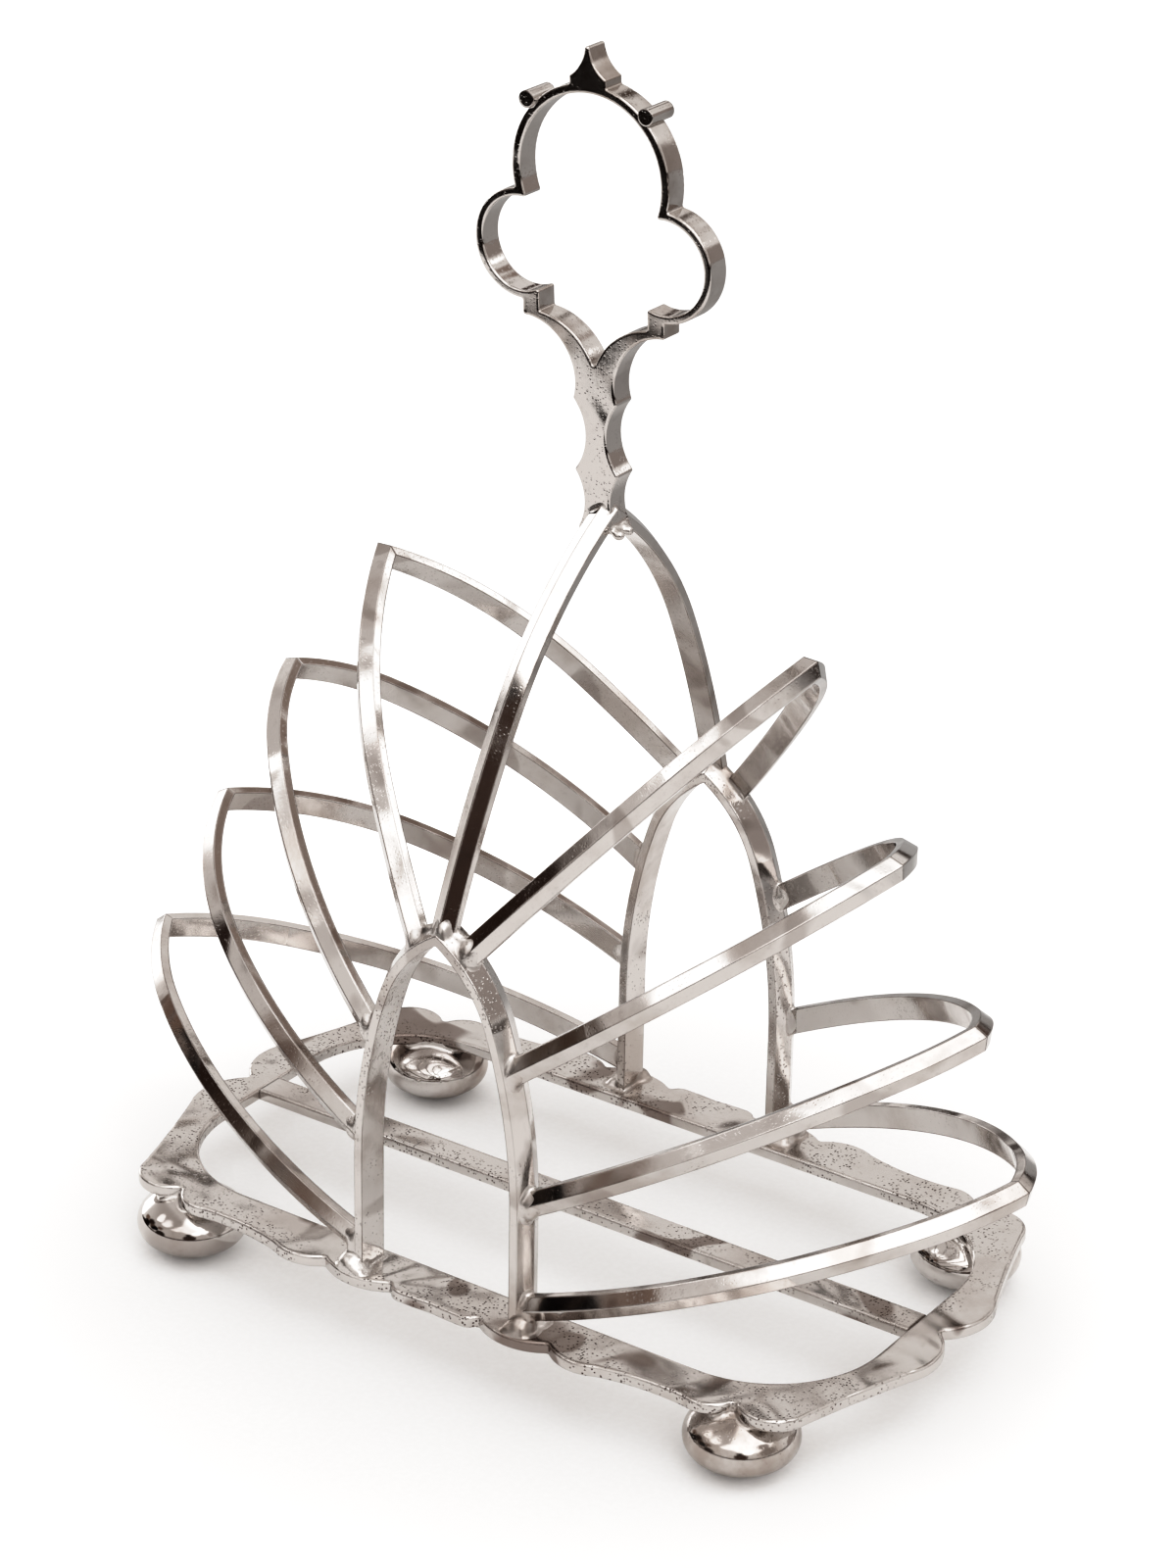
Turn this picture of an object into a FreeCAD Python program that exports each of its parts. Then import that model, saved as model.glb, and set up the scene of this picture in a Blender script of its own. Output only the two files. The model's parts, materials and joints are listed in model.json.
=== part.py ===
import FreeCAD, Part
import math
import os

import Sketcher

# Gothic toast rack in silver plate: a scalloped base frame on four bun feet, two pointed side
# arches, nine pointed hoops fanned out between them and a flat trefoil carrying handle.
# Millimetres. +Z is up, X runs along the rack, -Y is its front, and the origin is on the
# surface it stands on, under the middle of the base frame.

SIZES = {
    # the longer left end puts the middle of the base frame this far right of the origin
    "middle_x": 3.4,
    # base frame
    "rail_top": 13.9,
    "plate_thickness": 2.3,
    "opening_half_length": 71.0,
    "opening_half_width": 35.0,
    "opening_corner": 22.0,
    "bar_width": 6.2,
    "plate_round": 0.5,
    "notch_round": 0.7,
    "join_round": 6.0,
    # bun feet: a torus side between two shallow spherical caps
    "foot_x": 59.4,
    "foot_y": 36.9,
    "foot_radius": 10.1,
    "foot_half_height": 6.3,
    "foot_side_radius": 4.1,
    "foot_flat": 2.1,
    # side arches: a wider house-section wire, bent with a straight leg and two arcs each side
    "arch_y": 40.35,
    "arch_wire_width": 6.3,
    "arch_wire_side": 1.6,
    "arch_wire_gable": 1.5,
    "arch_half_span": 15.7,
    "arch_leg_top": 36.0,
    "arch_haunch_radius": 105.0,
    "arch_haunch_angle": 18.3,
    "arch_crown_radius": 25.0,
    # hoop wire
    "wire_width": 4.5,
    "wire_side": 1.6,
    "wire_gable": 1.4,
    "hoop_inner_y": 40.2,
    "hoop_inset": 1.2,
    # handle, its heights measured up from the foot of the stem
    "handle_thickness": 4.8,
    "handle_round": 0.35,
    "handle_corner_round": 0.4,
    "handle_shift": 2.3,
    "handle_back": 0.8,
    "handle_lean": 2.75,
    "stem_bottom": 143.5,
    "loop_height": 61.0,
    "loop_inner": 13.9,
    "loop_outer": 15.5,
    "lobe_x": 14.0,
    "lobe_height": 47.9,
    "lobe_inner": 8.0,
    "lobe_outer": 9.4,
    "nub_radius": 1.45,
    "nub_length": 6.2,
    "nub_reach": 16.5,
    "nub_angle": 45.0,
}

# Each hoop is bent and set by hand, so each has sizes of its own: the height of its root on the
# arches, the lean of its plane above the horizontal, how far its limbs already lean inwards where
# they leave the arches, the radius and length of each limb's first bend and the radius of its
# second bend, which runs to the peak.
HOOP_QUANTITIES = ("root", "lean", "entry", "first_radius", "first_length", "second_radius")
HOOPS = {
    "hoop_left_4": (18.2, 15.4, 4.0, 126.0, 70.0, 57.0),
    "hoop_left_3": (39.9, 25.8, 4.0, 105.0, 46.0, 61.0),
    "hoop_left_2": (60.1, 39.0, 9.5, 106.0, 58.0, 44.0),
    "hoop_left_1": (79.0, 51.2, 20.0, 320.0, 28.0, 85.0),
    "hoop_centre": (83.4, 87.2, 18.0, 220.0, 38.0, 75.0),
    "hoop_right_1": (79.5, 50.8, 18.0, 172.0, 46.0, 69.0),
    "hoop_right_2": (61.2, 36.9, 4.5, 110.0, 18.0, 59.0),
    "hoop_right_3": (37.3, 28.7, 4.0, 98.0, 72.0, 29.0),
    "hoop_right_4": (17.3, 21.3, -5.0, 83.5, 75.0, 38.0),
}
for name, numbers in HOOPS.items():
    for quantity, number in zip(HOOP_QUANTITIES, numbers):
        SIZES[f"{name}_{quantity}"] = number

# Quarter of the base frame's outline (x and y positive), from the middle of a long side to the
# middle of an end. Each entry is one arc: a point it passes through and the point it ends at.
FRAME_START = (0.0, 44.9)
FRAME_ARCS = [
    ((3.2, 45.15), (6.2, 45.2)),      # long side between the arches
    ((8.3, 44.7), (9.3, 43.4)),       # its rounded shoulder, down to the first cusp
    ((16.6, 45.8), (24.0, 43.4)),     # lobe that carries an arch leg
    ((27.8, 45.5), (34.5, 44.7)),     # shoulder after the second cusp
    ((43.0, 43.2), (52.0, 43.4)),     # narrowing of the long side
    ((57.4, 42.4), (59.5, 39.3)),     # rounded down to the corner notch
    ((65.6, 41.9), (71.2, 36.2)),     # corner lobe
    ((74.5, 25.6), (78.6, 14.2)),     # narrowing of the end
    ((79.9, 7.4), (75.6, 0.0)),       # end lobe, down to the end notch
]

# Right half of the handle's outline below its side lobe, with heights above the stem's foot.
STEP_INNER = 10.8
STEP_OUTER = 14.1
STEP_BOTTOM = 35.8
ARM_TOP = 36.8
V_BOTTOM = 28.5
V_VIA = (3.2, 33.35)
STEM_ARCS = [
    ((8.0, 33.75), (4.6, 29.1)),      # underside of the arm
    ((3.95, 25.9), (4.4, 22.9)),      # down to the first pair of cusps
    ((2.1, 16.7), (4.4, 10.5)),       # waist
    ((2.6, 5.3), (4.2, 0.0)),         # waist above the foot of the stem
]
FINIAL_HALF_BASE = 3.6
FINIAL_SHOULDER = 77.5
FINIAL_TIP = 82.2
FINIAL_TIP_HALF = 0.45
FINIAL_VIA = (1.35, 79.7)

doc = FreeCAD.newDocument("toast_rack")

sheet = doc.addObject("Spreadsheet::Sheet", "sizes")
for row, (alias, number) in enumerate(SIZES.items(), start=1):
    sheet.set(f"A{row}", alias)
    sheet.set(f"B{row}", str(number))
    sheet.setAlias(f"B{row}", alias)
doc.recompute()


def size(alias):
    """A driving dimension, read back from the sheet."""
    return float(sheet.get(alias))


def point(x, y):
    return FreeCAD.Vector(x, y, 0)


def origin_plane(body, role):
    for feature in body.Origin.OriginFeatures:
        if feature.Role == role:
            return feature
    raise ValueError(role)


def new_body(name):
    body = doc.addObject("PartDesign::Body", name)
    body.Label = name
    return body


def new_sketch(body, name, role):
    """An empty sketch on one of the body's own origin planes."""
    sketch = body.newObject("Sketcher::SketchObject", name)
    sketch.AttachmentSupport = [(origin_plane(body, role), "")]
    sketch.MapMode = "FlatFace"
    return sketch


def bind(sketch, kind, arguments, expression):
    """Add one dimension to a sketch and drive it from the sheet."""
    index = sketch.addConstraint(Sketcher.Constraint(kind, *arguments))
    sketch.setExpression(f"Constraints[{index}]", expression)


def chain(sketch, pieces):
    """Add a closed run of lines and arcs, joined end to end, and hold each one where it is drawn."""
    first = sketch.GeometryCount
    sketch.addGeometry(pieces, False)
    last = sketch.GeometryCount - 1
    for index in range(first, last + 1):
        sketch.addConstraint(Sketcher.Constraint("Block", index))


def corners(sketch, points):
    """Add a closed polygon of lines, joined by coincident constraints; return its first index."""
    first = sketch.GeometryCount
    count = len(points)
    for index in range(count):
        start = point(*points[index])
        end = point(*points[(index + 1) % count])
        sketch.addGeometry(Part.LineSegment(start, end), False)
    for index in range(count):
        following = first + (index + 1) % count
        sketch.addConstraint(Sketcher.Constraint("Coincident", first + index, 2, following, 1))
    return first


def three_point_arcs(start, arcs, flip_x=1, flip_y=1):
    """Arcs through (via, end) pairs, mirrored by the two signs."""
    pieces = []
    here = start
    for via, end in arcs:
        ends = [point(flip_x * x, flip_y * y) for x, y in (here, via, end)]
        pieces.append(Part.Arc(*ends))
        here = end
    return pieces


def line(x1, y1, x2, y2):
    return Part.LineSegment(point(x1, y1), point(x2, y2))


def rounded(body, feature, name, edges, expression):
    """Round the named edges of the body's last feature."""
    fillet = body.newObject("PartDesign::Fillet", name)
    fillet.Base = (feature, edges)
    fillet.setExpression("Radius", expression)
    return fillet


def flat_edges(shape, axis, levels):
    """Names of the edges that lie wholly at one of the levels along an axis (0 x, 1 y, 2 z)."""
    names = []
    for number, edge in enumerate(shape.Edges, start=1):
        box = edge.BoundBox
        low = (box.XMin, box.YMin, box.ZMin)[axis]
        high = (box.XMax, box.YMax, box.ZMax)[axis]
        if any(abs(low - level) < 1e-4 and abs(high - level) < 1e-4 for level in levels):
            names.append(f"Edge{number}")
    return names


def through_edges(shape, axis, least, most):
    """Names of the straight edges along an axis whose faces turn by an angle within the limits."""
    names = []
    for number, edge in enumerate(shape.Edges, start=1):
        box = edge.BoundBox
        across = [box.XLength, box.YLength, box.ZLength]
        across.pop(axis)
        if max(across) > 1e-4:
            continue
        middle = edge.valueAt((edge.FirstParameter + edge.LastParameter) / 2)
        one, other = [face.normalAt(*face.Surface.parameter(middle))
                      for face in shape.ancestorsOfType(edge, Part.Face)]
        if least <= math.degrees(one.getAngle(other)) <= most:
            names.append(f"Edge{number}")
    return names


# ---------------------------------------------------------------- base frame and centre bar

def base_frame():
    body = new_body("base_frame")
    sketch = new_sketch(body, "frame_outline", "XY_Plane")
    outline = []
    for flip_x, flip_y in ((1, 1), (1, -1), (-1, -1), (-1, 1)):
        outline += three_point_arcs(FRAME_START, FRAME_ARCS, flip_x, flip_y)
    chain(sketch, outline)

    half_length = size("opening_half_length")
    half_width = size("opening_half_width")
    corner = size("opening_corner")
    reach_x = half_length - corner
    reach_y = half_width - corner
    first = sketch.GeometryCount
    for centre_x, centre_y, start in ((reach_x, reach_y, 0), (-reach_x, reach_y, 90),
                                      (-reach_x, -reach_y, 180), (reach_x, -reach_y, 270)):
        circle = Part.Circle(point(centre_x, centre_y), FreeCAD.Vector(0, 0, 1), corner)
        sweep = (math.radians(start), math.radians(start + 90))
        sketch.addGeometry(Part.ArcOfCircle(circle, *sweep), False)
    sides = [line(reach_x, half_width, -reach_x, half_width),
             line(-half_length, reach_y, -half_length, -reach_y),
             line(-reach_x, -half_width, reach_x, -half_width),
             line(half_length, -reach_y, half_length, reach_y)]
    sketch.addGeometry(sides, False)
    for index in range(4):
        arc = first + index
        side = first + 4 + index
        following = first + (index + 1) % 4
        sketch.addConstraint(Sketcher.Constraint("Tangent", arc, 2, side, 1))
        sketch.addConstraint(Sketcher.Constraint("Tangent", side, 2, following, 1))
    sketch.addConstraint(Sketcher.Constraint("Horizontal", first + 4))
    sketch.addConstraint(Sketcher.Constraint("Vertical", first + 5))
    sketch.addConstraint(Sketcher.Constraint("Horizontal", first + 6))
    for index in range(1, 4):
        sketch.addConstraint(Sketcher.Constraint("Equal", first, first + index))
    bind(sketch, "Radius", (first, corner), "sizes.opening_corner")
    bind(sketch, "DistanceX", (-1, 1, first, 3, reach_x), "sizes.opening_half_length - sizes.opening_corner")
    bind(sketch, "DistanceY", (-1, 1, first, 3, reach_y), "sizes.opening_half_width - sizes.opening_corner")
    bind(sketch, "DistanceX", (first + 2, 3, -1, 1, reach_x), "sizes.opening_half_length - sizes.opening_corner")
    bind(sketch, "DistanceY", (first + 2, 3, -1, 1, reach_y), "sizes.opening_half_width - sizes.opening_corner")

    pad = body.newObject("PartDesign::Pad", "frame_pad")
    pad.Profile = sketch
    pad.setExpression("Length", "sizes.plate_thickness")
    doc.recompute()
    notches = rounded(body, pad, "frame_notches", through_edges(pad.Shape, 2, 25, 180), "sizes.notch_round")
    doc.recompute()
    joins = rounded(body, notches, "frame_joins", through_edges(notches.Shape, 2, 5, 25), "sizes.join_round")
    doc.recompute()
    edges = flat_edges(joins.Shape, 2, (0, size("plate_thickness")))
    rounded(body, joins, "frame_rounding", edges, "sizes.plate_round")
    body.setExpression("Placement.Base.x", "sizes.middle_x")
    body.setExpression("Placement.Base.z", "sizes.rail_top - sizes.plate_thickness")
    return body


def centre_bar():
    body = new_body("centre_bar")
    sketch = new_sketch(body, "bar_outline", "XY_Plane")
    half_length = size("opening_half_length")
    half_width = size("bar_width") / 2
    first = corners(sketch, [(-half_length, -half_width), (half_length, -half_width),
                             (half_length, half_width), (-half_length, half_width)])
    for index, kind in enumerate(("Horizontal", "Vertical", "Horizontal", "Vertical")):
        sketch.addConstraint(Sketcher.Constraint(kind, first + index))
    bind(sketch, "DistanceX", (-1, 1, first, 2, half_length), "sizes.opening_half_length")
    bind(sketch, "DistanceX", (first, 1, -1, 1, half_length), "sizes.opening_half_length")
    bind(sketch, "DistanceY", (first, 1, -1, 1, half_width), "sizes.bar_width / 2")
    bind(sketch, "DistanceY", (-1, 1, first + 2, 1, half_width), "sizes.bar_width / 2")
    pad = body.newObject("PartDesign::Pad", "bar_pad")
    pad.Profile = sketch
    pad.setExpression("Length", "sizes.plate_thickness")
    doc.recompute()
    edges = flat_edges(pad.Shape, 1, (-half_width, half_width))
    along = [name for name in edges if pad.Shape.Edges[int(name[4:]) - 1].Length > half_length]
    rounded(body, pad, "bar_rounding", along, "sizes.plate_round")
    body.setExpression("Placement.Base.x", "sizes.middle_x")
    body.setExpression("Placement.Base.z", "sizes.rail_top - sizes.plate_thickness")
    return body


# ---------------------------------------------------------------- bun feet

def bun_foot(name, side_x, side_y):
    """A flattened ball turned about Z, flat where it stands and where it meets the frame."""
    body = new_body(name)
    sketch = new_sketch(body, f"{name}_profile", "XZ_Plane")
    radius = size("foot_radius")
    half_height = size("foot_half_height")
    side = size("foot_side_radius")
    flat = size("foot_flat")
    top = size("rail_top") - size("plate_thickness")

    side_x_centre = radius - side
    spare = half_height - side
    drop = (side_x_centre ** 2 - spare ** 2) / (2 * spare)
    cap = half_height + drop
    middle = math.sqrt(cap ** 2 - flat ** 2) - drop
    turn = math.atan2(drop, side_x_centre)
    join_x = side_x_centre + side * math.cos(turn)
    join_rise = side * math.sin(turn)
    neck = math.sqrt(cap ** 2 - (top - middle + drop) ** 2)

    def on_cap(distance, sign):
        return middle + sign * (math.sqrt(cap ** 2 - distance ** 2) - drop)

    lower_via = (flat + join_x) / 2
    upper_via = (neck + join_x) / 2
    pieces = [line(0, 0, flat, 0),
              Part.Arc(point(flat, 0), point(lower_via, on_cap(lower_via, -1)),
                       point(join_x, middle - join_rise)),
              Part.Arc(point(join_x, middle - join_rise), point(radius, middle),
                       point(join_x, middle + join_rise)),
              Part.Arc(point(join_x, middle + join_rise), point(upper_via, on_cap(upper_via, 1)),
                       point(neck, top)),
              line(neck, top, 0, top),
              line(0, top, 0, 0)]
    chain(sketch, pieces)
    turned = body.newObject("PartDesign::Revolution", f"{name}_turned")
    turned.Profile = sketch
    turned.ReferenceAxis = (sketch, ["V_Axis"])
    turned.Angle = 360
    body.setExpression("Placement.Base.x", f"sizes.middle_x + {side_x} * sizes.foot_x")
    body.setExpression("Placement.Base.y", f"{side_y} * sizes.foot_y")
    return body


# ---------------------------------------------------------------- wires

def house_section(sketch, inner, axis_sign, width, side, gable):
    """A five-sided wire section: flat inner face, two narrow sides and a low gable outside.

    width, side and gable are sheet aliases. The inner face is inner mm from the sketch's origin.
    """
    half = size(width) / 2
    reach = size(side)
    peak = reach + size(gable)
    shape = [(inner, -half), (inner + axis_sign * reach, -half), (inner + axis_sign * peak, 0),
             (inner + axis_sign * reach, half), (inner, half)]
    first = corners(sketch, shape)
    sketch.addConstraint(Sketcher.Constraint("Horizontal", first))
    sketch.addConstraint(Sketcher.Constraint("Horizontal", first + 3))
    sketch.addConstraint(Sketcher.Constraint("Vertical", first + 4))
    sketch.addConstraint(Sketcher.Constraint("Equal", first, first + 3))
    sketch.addConstraint(Sketcher.Constraint("Equal", first + 1, first + 2))
    bind(sketch, "DistanceY", (first + 4, 2, first + 4, 1, 2 * half), f"sizes.{width}")
    bind(sketch, "DistanceY", (first + 4, 2, -1, 1, half), f"sizes.{width} / 2")
    bind(sketch, "DistanceX", (first, 1, first, 2, reach), f"sizes.{side}")
    bind(sketch, "DistanceX", (first, 2, first + 1, 2, peak - reach), f"sizes.{gable}")
    return first


def arch_curve():
    """Sizes of the arch's inner face: its arcs, where the crown starts and its slope at the apex."""
    span = size("arch_half_span")
    leg_top = size("arch_leg_top")
    haunch = size("arch_haunch_radius")
    crown = size("arch_crown_radius")
    turn = math.radians(size("arch_haunch_angle"))
    crown_start = (span - haunch * (1 - math.cos(turn)), leg_top + haunch * math.sin(turn))
    apex_turn = math.acos(math.cos(turn) - crown_start[0] / crown)
    return span, leg_top, haunch, crown, turn, crown_start, apex_turn


def on_arch(height):
    """Distance of the arch's inner face from its middle at a height, and its slope from upright."""
    span, leg_top, haunch, crown, turn, crown_start, apex_turn = arch_curve()
    if height <= leg_top:
        return span, 0.0
    if height <= crown_start[1]:
        angle = math.asin((height - leg_top) / haunch)
        return span - haunch * (1 - math.cos(angle)), angle
    angle = math.asin(math.sin(turn) + (height - crown_start[1]) / crown)
    return crown_start[0] - crown * (math.cos(turn) - math.cos(angle)), angle


def arch(name, side):
    """One side arch: half of it is swept and trimmed on the middle plane, then mirrored."""
    span, leg_top, haunch, crown, turn, crown_start, apex_turn = arch_curve()
    foot = size("rail_top")
    half = new_body(f"{name}_half")
    section = new_sketch(half, f"{name}_section", "XY_Plane")
    section.setExpression("AttachmentOffset.Base.z", "sizes.rail_top")
    first = house_section(section, span, 1, "arch_wire_width", "arch_wire_side", "arch_wire_gable")
    bind(section, "DistanceX", (-1, 1, first, 1, span), "sizes.arch_half_span")

    path = new_sketch(half, f"{name}_path", "XZ_Plane")
    up = FreeCAD.Vector(0, 0, 1)
    haunch_circle = Part.Circle(point(span - haunch, leg_top), up, haunch)
    crown_centre_x = crown_start[0] - crown * math.cos(turn)
    crown_centre_y = crown_start[1] - crown * math.sin(turn)
    crown_circle = Part.Circle(point(crown_centre_x, crown_centre_y), up, crown)
    past_apex = apex_turn + math.radians(12)
    pieces = [line(span, foot, span, leg_top),
              Part.ArcOfCircle(haunch_circle, 0, turn),
              Part.ArcOfCircle(crown_circle, turn, past_apex)]
    chain(path, pieces)

    wire = half.newObject("PartDesign::AdditivePipe", f"{name}_wire")
    wire.Profile = section
    wire.Spine = (path, ["Edge1", "Edge2", "Edge3"])

    trimmed = doc.addObject("Part::Common", f"{name}_trimmed")
    trimmed.Base = half
    trimmed.Tool = half_space(f"{name}_right_side", (0, -100, 0), (200, 200, 300))
    mirrored = doc.addObject("Part::Mirroring", f"{name}_mirrored")
    mirrored.Source = trimmed
    mirrored.Base = FreeCAD.Vector(0, 0, 0)
    mirrored.Normal = FreeCAD.Vector(1, 0, 0)
    whole = doc.addObject("Part::Fuse", name)
    whole.Label = name
    whole.Base = trimmed
    whole.Tool = mirrored
    whole.Refine = True
    whole.setExpression("Placement.Base.x", "sizes.middle_x")
    whole.setExpression("Placement.Base.y", f"{side} * sizes.arch_y")
    return whole


def half_space(name, corner, extent):
    """A box that stands for one side of a plane when trimming."""
    box = doc.addObject("Part::Box", name)
    box.Length, box.Width, box.Height = extent
    box.Placement.Base = FreeCAD.Vector(*corner)
    return box


# ---------------------------------------------------------------- hoops

def limb(hoop_name, side_name, side_x, side_y, supporting_arch, keep):
    """One limb of a hoop: an arc of house-section wire from a side arch up to the mitred peak.

    The limb lies in its hoop's plane, which holds the Y axis direction and the rising direction.
    """
    name = f"{hoop_name}_{side_name}"
    height = size(f"{hoop_name}_root")
    if side_x == 0:
        root = FreeCAD.Vector(size("middle_x"), 0, height)
        lean_side = 1
    else:
        x, slope = on_arch(height)
        reach = x + size("hoop_inset") * math.cos(slope)
        rise = size("hoop_inset") * math.sin(slope)
        root = FreeCAD.Vector(size("middle_x") + side_x * reach, 0, height + rise)
        lean_side = side_x
    tilt = math.radians(size(f"{hoop_name}_lean"))
    rising = FreeCAD.Vector(lean_side * math.cos(tilt), 0, math.sin(tilt))
    outward = FreeCAD.Vector(0, side_y, 0)

    # The body's own X points outwards where the limb starts and its Y along the wire there.
    entry = math.radians(size(f"{hoop_name}_entry"))
    first = size(f"{hoop_name}_first_radius")
    second = size(f"{hoop_name}_second_radius")
    bend = size(f"{hoop_name}_first_length") / first
    centre_y = size("hoop_inner_y") - first * math.cos(entry)
    second_y = centre_y + (first - second) * math.cos(entry + bend)
    ridge = second + size("wire_side") + size("wire_gable")
    finish = math.acos(-second_y / ridge) - entry + math.radians(1)

    body = new_body(f"{name}_wire")
    section = new_sketch(body, f"{name}_section", "XZ_Plane")
    corner = house_section(section, first, 1, "wire_width", "wire_side", "wire_gable")
    bind(section, "DistanceX", (-1, 1, corner, 1, first), f"sizes.{hoop_name}_first_radius")
    path = new_sketch(body, f"{name}_path", "XY_Plane")
    up = FreeCAD.Vector(0, 0, 1)
    second_centre = point((first - second) * math.cos(bend), (first - second) * math.sin(bend))
    chain(path, [Part.ArcOfCircle(Part.Circle(point(0, 0), up, first), 0, bend),
                 Part.ArcOfCircle(Part.Circle(second_centre, up, second), bend, finish)])
    wire = body.newObject("PartDesign::AdditivePipe", f"{name}_bent_wire")
    wire.Profile = section
    wire.Spine = (path, ["Edge1", "Edge2"])

    radial = outward * math.cos(entry) + rising * math.sin(entry)
    along = rising * math.cos(entry) - outward * math.sin(entry)
    turn = FreeCAD.Rotation(radial, along, radial.cross(along), "ZXY")
    centre_rise = -first * math.sin(entry)
    body.Placement = FreeCAD.Placement(root + outward * centre_y + rising * centre_rise, turn)

    fitted = doc.addObject("Part::Cut", f"{name}_fitted")
    fitted.Base = body
    fitted.Tool = supporting_arch
    mitred = doc.addObject("Part::Common", name)
    mitred.Label = name
    mitred.Base = fitted
    mitred.Tool = keep
    return mitred


def hoop(name, side_x, arches, halves):
    """Both limbs of a hoop, front then back."""
    front = limb(name, "front", side_x, -1, arches[0], halves[0])
    back = limb(name, "back", side_x, 1, arches[1], halves[1])
    return [front, back]


# ---------------------------------------------------------------- handle

def crossing(first_centre, first_radius, second_centre, second_radius):
    """The crossing of two circles that lies further from the middle (larger x)."""
    dx = second_centre[0] - first_centre[0]
    dy = second_centre[1] - first_centre[1]
    apart = math.hypot(dx, dy)
    along = (apart ** 2 + first_radius ** 2 - second_radius ** 2) / (2 * apart)
    across = math.sqrt(first_radius ** 2 - along ** 2)
    options = []
    for sign in (1, -1):
        x = first_centre[0] + (along * dx - sign * across * dy) / apart
        y = first_centre[1] + (along * dy + sign * across * dx) / apart
        options.append((x, y))
    return max(options)


def handle():
    """The flat casting: scalloped stem, two arms, trefoil loop, nubs and finial."""
    body = new_body("handle_casting")
    sketch = new_sketch(body, "handle_outline", "XZ_Plane")
    lobe = (size("lobe_x"), size("lobe_height"))
    loop = (0.0, size("loop_height"))
    lobe_outer = size("lobe_outer")
    lobe_inner = size("lobe_inner")
    loop_outer = size("loop_outer")
    loop_inner = size("loop_inner")

    notch = crossing(loop, loop_outer, lobe, lobe_outer)
    cusp = crossing(loop, loop_inner, lobe, lobe_inner)
    step_outer = (STEP_OUTER, lobe[1] - math.sqrt(lobe_outer ** 2 - (STEP_OUTER - lobe[0]) ** 2))
    step_inner = (STEP_INNER, lobe[1] - math.sqrt(lobe_inner ** 2 - (STEP_INNER - lobe[0]) ** 2))
    shoulder = (FINIAL_HALF_BASE, loop[1] + math.sqrt(loop_outer ** 2 - FINIAL_HALF_BASE ** 2))
    lobe_side = (lobe[0] + lobe_outer, lobe[1])
    lobe_side_inner = (lobe[0] + lobe_inner, lobe[1])
    diagonal = math.sqrt(0.5)
    loop_side = (loop_outer * diagonal, loop[1] + loop_outer * diagonal)
    tip = (FINIAL_TIP_HALF, FINIAL_TIP)
    crest = (FINIAL_HALF_BASE, FINIAL_SHOULDER)

    stem_foot = STEM_ARCS[-1][1]
    pieces = [line(-stem_foot[0], stem_foot[1], stem_foot[0], stem_foot[1])]
    for flip in (1, -1):
        pieces += three_point_arcs((STEP_OUTER, STEP_BOTTOM), STEM_ARCS, flip)
        pieces.append(line(flip * STEP_OUTER, STEP_BOTTOM, flip * step_outer[0], step_outer[1]))
        pieces += three_point_arcs(step_outer, [(lobe_side, notch), (loop_side, shoulder)], flip)
        pieces.append(line(flip * shoulder[0], shoulder[1], flip * crest[0], crest[1]))
        pieces += three_point_arcs(crest, [(FINIAL_VIA, tip)], flip)
    pieces.append(Part.Arc(point(-tip[0], tip[1]), point(0, tip[1] + 0.4), point(tip[0], tip[1])))
    chain(sketch, pieces)

    opening = [Part.Arc(point(*cusp), point(0, loop[1] + loop_inner), point(-cusp[0], cusp[1]))]
    for flip in (1, -1):
        opening += three_point_arcs(cusp, [(lobe_side_inner, step_inner)], flip)
        opening.append(line(flip * step_inner[0], step_inner[1], flip * STEP_INNER, ARM_TOP))
        opening += three_point_arcs((STEP_INNER, ARM_TOP), [(V_VIA, (0.0, V_BOTTOM))], flip)
    chain(sketch, opening)

    pad = body.newObject("PartDesign::Pad", "handle_pad")
    pad.Profile = sketch
    pad.Midplane = True
    pad.setExpression("Length", "sizes.handle_thickness")
    doc.recompute()
    corners_eased = rounded(body, pad, "handle_corners", through_edges(pad.Shape, 1, 20, 180),
                            "sizes.handle_corner_round")
    doc.recompute()
    half = size("handle_thickness") / 2
    edges = flat_edges(corners_eased.Shape, 1, (-half, half))
    rounded(body, corners_eased, "handle_rounding", edges, "sizes.handle_round")

    nubs = new_sketch(body, "handle_nubs", "XZ_Plane")
    reach = size("nub_reach")
    angle = math.radians(size("nub_angle"))
    x = reach * math.sin(angle)
    z = loop[1] + reach * math.cos(angle)
    for side in (1, -1):
        index = nubs.addGeometry(Part.Circle(point(side * x, z), FreeCAD.Vector(0, 0, 1), 1), False)
        bind(nubs, "Radius", (index, size("nub_radius")), "sizes.nub_radius")
        ends = (-1, 1, index, 3, x) if side > 0 else (index, 3, -1, 1, x)
        bind(nubs, "DistanceX", ends, "sizes.nub_reach * sin(sizes.nub_angle)")
        height = "sizes.loop_height + sizes.nub_reach * cos(sizes.nub_angle)"
        bind(nubs, "DistanceY", (-1, 1, index, 3, z), height)
    boss = body.newObject("PartDesign::Pad", "nub_pad")
    boss.Profile = nubs
    boss.Midplane = True
    boss.setExpression("Length", "sizes.nub_length")

    lean = FreeCAD.Rotation(FreeCAD.Vector(0, 1, 0), -size("handle_lean"))
    body.Placement = FreeCAD.Placement(FreeCAD.Vector(0, 0, 0), lean)
    body.setExpression("Placement.Base.x", "sizes.middle_x + sizes.handle_shift")
    body.setExpression("Placement.Base.y", "sizes.handle_back")
    body.setExpression("Placement.Base.z", "sizes.stem_bottom")
    return body


def seated(name, piece, supports):
    """Cut a piece where it sits over its supports, so that they meet face to face."""
    result = piece
    for number, support in enumerate(supports, start=1):
        cut = doc.addObject("Part::Cut", f"{name}_seat_{number}")
        cut.Base = result
        cut.Tool = support
        result = cut
    result.Label = name
    return result


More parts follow.
